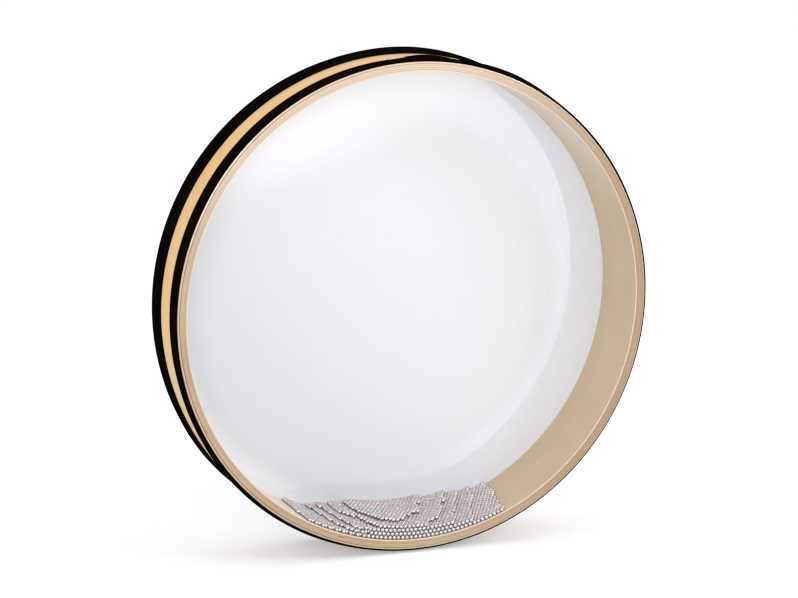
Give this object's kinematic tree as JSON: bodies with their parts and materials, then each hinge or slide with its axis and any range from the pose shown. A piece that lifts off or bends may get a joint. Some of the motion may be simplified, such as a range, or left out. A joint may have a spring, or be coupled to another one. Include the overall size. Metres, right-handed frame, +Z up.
{
  "type": "ocean drum",
  "caption": "Shallow round ocean drum: laminated wooden shell, clear front head, white rear head, black cloth tape on both edges and loose steel shot that rolls round inside.",
  "frame": {"origin": "middle of the drum on its own axis, halfway between the heads", "axes": "Y is the drum's axis with the clear front head towards -Y; +Z is up, away from the heap of shot; +X is to the right seen from the front"},
  "size_m": [0.357, 0.0624, 0.357],
  "materials": {
    "outer_veneer": "pale golden veneer under clear lacquer",
    "core_veneer": "raw veneer, sanded end faces",
    "inner_veneer": "raw veneer, sanded",
    "clear_film": "clear polyester film, glossy",
    "white_film": "white polyester film, glossy",
    "cloth_tape": "black woven cloth tape with a low sheen",
    "steel_shot": "bright steel balls"
  },
  "bodies": {
    "drum": {"shell_outer_ply": "outer_veneer", "shell_second_ply": "core_veneer", "shell_middle_ply": "core_veneer", "shell_fourth_ply": "core_veneer", "shell_inner_ply": "inner_veneer", "front_head": "clear_film", "rear_head": "white_film", "front_tape": "cloth_tape", "rear_tape": "cloth_tape"},
    "shot": {"shot_sheet_1": "steel_shot", "shot_sheet_2": "steel_shot", "shot_sheet_3": "steel_shot", "shot_sheet_4": "steel_shot", "shot_sheet_5": "steel_shot", "shot_sheet_6": "steel_shot", "shot_sheet_7": "steel_shot", "shot_sheet_8": "steel_shot", "shot_sheet_9": "steel_shot", "shot_sheet_10": "steel_shot", "shot_sheet_11": "steel_shot", "shot_sheet_12": "steel_shot", "shot_sheet_13": "steel_shot", "shot_sheet_14": "steel_shot", "shot_sheet_15": "steel_shot", "shot_sheet_16": "steel_shot", "shot_sheet_17": "steel_shot", "shot_sheet_18": "steel_shot", "shot_sheet_19": "steel_shot", "shot_sheet_20": "steel_shot", "shot_sheet_21": "steel_shot"}
  },
  "joints": [
    {"name": "shot_roll", "type": "hinge", "parent": "drum", "child": "shot", "pos_m": [0, 0, 0], "axis": [0, 1, 0], "continuous": true}
  ]
}
